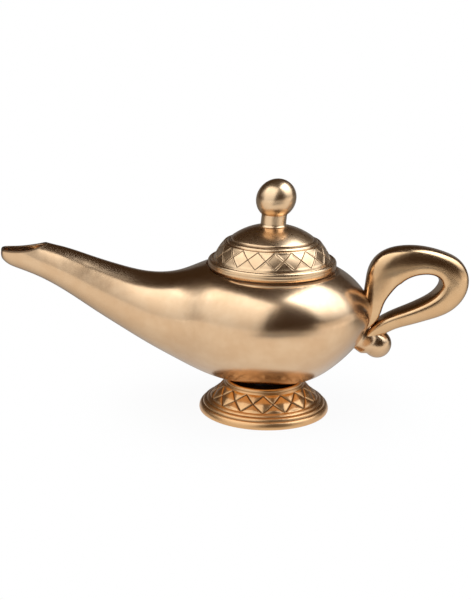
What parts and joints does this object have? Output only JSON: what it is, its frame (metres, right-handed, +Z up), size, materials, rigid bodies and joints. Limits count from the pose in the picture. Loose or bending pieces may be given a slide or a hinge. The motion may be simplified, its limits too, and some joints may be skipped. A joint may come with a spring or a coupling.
{
  "type": "genie oil lamp",
  "caption": "Brass genie oil lamp with a long curved spout, loop handle, ball, lattice foot and a domed lid with a ball knob that lifts off and turns.",
  "frame": {"origin": "centre of the felt face under the foot, on which the lamp stands", "axes": "+Z up through the lid and knob, -X towards the nozzle of the spout, +X towards the handle, -Y towards the front of the picture"},
  "size_m": [0.2392, 0.097, 0.1225],
  "materials": {
    "brass_body": "satin, slightly uneven casting",
    "brass_lid": "satin with incised lattice",
    "brass_foot": "satin with raised lattice",
    "brass_handle": "satin",
    "brass_knob": "polished",
    "brass_plain": "machined",
    "steel": "plain",
    "rubber": "matt",
    "cork": "matt",
    "felt": "soft"
  },
  "bodies": {
    "lamp": {"body_shell_front": "brass_body", "body_shell_rear": "brass_body", "mouth_collar": "brass_plain", "wick_holder": "brass_plain", "handle_loop": "brass_handle", "handle_screws": "steel", "handle_washers": "steel", "handle_ball": "brass_handle", "ball_stud": "steel", "ball_nut": "steel", "foot": "brass_foot", "foot_gasket": "rubber", "foot_bolt": "steel", "foot_washer": "steel", "foot_nut": "steel", "foot_felt": "felt"},
    "seal": {"lid_seal": "cork"},
    "lid": {"lid_shell": "brass_lid", "lid_skirt": "brass_plain", "lid_knob": "brass_knob", "knob_stud": "steel", "knob_washer": "steel", "knob_nut": "steel"}
  },
  "joints": [
    {"name": "lid_lift", "type": "slide", "parent": "lamp", "child": "seal", "axis": [0, 0, 1], "range_m": [0, 0.06]},
    {"name": "lid_turn", "type": "hinge", "parent": "seal", "child": "lid", "pos_m": [0.0026, 0, 0.0765], "axis": [0, 0, 1], "continuous": true}
  ]
}
